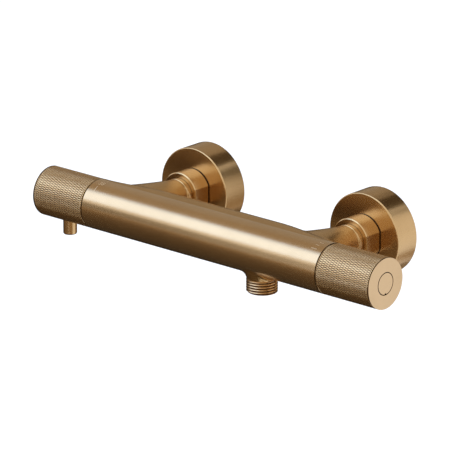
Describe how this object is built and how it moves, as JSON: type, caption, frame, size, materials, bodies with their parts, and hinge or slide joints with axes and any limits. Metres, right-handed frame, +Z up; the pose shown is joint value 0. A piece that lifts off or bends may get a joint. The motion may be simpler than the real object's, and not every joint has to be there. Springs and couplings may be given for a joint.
{
  "type": "shower mixer valve",
  "caption": "Wall-mounted bar shower mixer with knurled temperature and flow handles, hose outlet below and two wall unions.",
  "frame": {"origin": "on the wall, midway between the two inlets, at the height of the bar", "axes": "+X along the bar from the temperature handle to the flow handle, +Y into the wall, +Z up"},
  "size_m": [0.2942, 0.1151, 0.0586],
  "materials": {
    "bronze_finish": "brushed, bronze coloured coating",
    "raw_brass": "turned",
    "stainless_steel": "bright",
    "white_acetal": "moulded",
    "black_rubber": "matt",
    "fibre": "matt",
    "ceramic": "lapped"
  },
  "bodies": {
    "mixer_body": {"cartridge_housing": "raw_brass", "cartridge_retaining_nut": "raw_brass", "cartridge_rings": "black_rubber", "cold_check_valve_barrel": "white_acetal", "cold_check_valve_spring": "stainless_steel", "cold_connector": "bronze_finish", "cold_eccentric_union": "bronze_finish", "cold_escutcheon": "bronze_finish", "cold_strainer": "stainless_steel", "cold_union_nut": "bronze_finish", "cold_union_washer": "fibre", "cold_wall_seal": "black_rubber", "fixed_ceramic_disc": "ceramic", "headwork_body": "raw_brass", "headwork_rings": "black_rubber", "headwork_seat_seal": "black_rubber", "hot_check_valve_barrel": "white_acetal", "hot_check_valve_spring": "stainless_steel", "hot_connector": "bronze_finish", "hot_eccentric_union": "bronze_finish", "hot_escutcheon": "bronze_finish", "hot_strainer": "stainless_steel", "hot_union_nut": "bronze_finish", "hot_union_washer": "fibre", "hot_wall_seal": "black_rubber", "outlet_nipple": "bronze_finish", "return_spring": "stainless_steel", "temperature_stop_ring": "white_acetal", "valve_body": "bronze_finish"},
    "temperature_knob": {"temperature_handle": "bronze_finish", "temperature_hub": "white_acetal", "temperature_handle_screw": "stainless_steel", "temperature_handle_cap": "bronze_finish", "temperature_spindle": "raw_brass", "temperature_spindle_clip": "stainless_steel", "stop_button_spring": "stainless_steel"},
    "stop_button": {"stop_button": "bronze_finish"},
    "regulator": {"adjusting_sleeve": "white_acetal", "overtravel_spring": "stainless_steel", "wax_element": "raw_brass", "regulating_slide": "white_acetal"},
    "flow_knob": {"flow_handle": "bronze_finish", "flow_hub": "white_acetal", "flow_handle_screw": "stainless_steel", "flow_handle_cap": "bronze_finish", "flow_spindle": "raw_brass", "flow_spindle_clip": "stainless_steel", "moving_ceramic_disc": "ceramic"},
    "hot_poppet": {"hot_check_valve_poppet": "white_acetal"},
    "cold_poppet": {"cold_check_valve_poppet": "white_acetal"}
  },
  "joints": [
    {"name": "temperature_turn", "type": "hinge", "parent": "mixer_body", "child": "temperature_knob", "pos_m": [-0.125, -0.084, 0], "axis": [1, 0, 0], "range_deg": [-200, 0]},
    {"name": "regulator_travel", "type": "slide", "parent": "mixer_body", "child": "regulator", "axis": [1, 0, 0], "range_m": [-0.0034, 0], "deforming": ["return_spring"]},
    {"name": "stop_button_press", "type": "slide", "parent": "temperature_knob", "child": "stop_button", "axis": [0, 0, 1], "range_m": [0, 0.0026], "stiffness_N_per_m": 1500, "springref_m": -0.001, "deforming": ["stop_button_spring"]},
    {"name": "flow_turn", "type": "hinge", "parent": "mixer_body", "child": "flow_knob", "pos_m": [0.125, -0.084, 0], "axis": [1, 0, 0], "range_deg": [0, 90]},
    {"name": "hot_check_valve_open", "type": "slide", "parent": "mixer_body", "child": "hot_poppet", "axis": [0, -1, 0], "range_m": [0, 0.002], "stiffness_N_per_m": 150, "springref_m": -0.001, "deforming": ["hot_check_valve_spring"]},
    {"name": "cold_check_valve_open", "type": "slide", "parent": "mixer_body", "child": "cold_poppet", "axis": [0, -1, 0], "range_m": [0, 0.002], "stiffness_N_per_m": 150, "springref_m": -0.001, "deforming": ["cold_check_valve_spring"]}
  ],
  "couplings": [
    {"joint": "regulator_travel", "follows": "temperature_turn", "m_per_rad": 0.00095493}
  ]
}
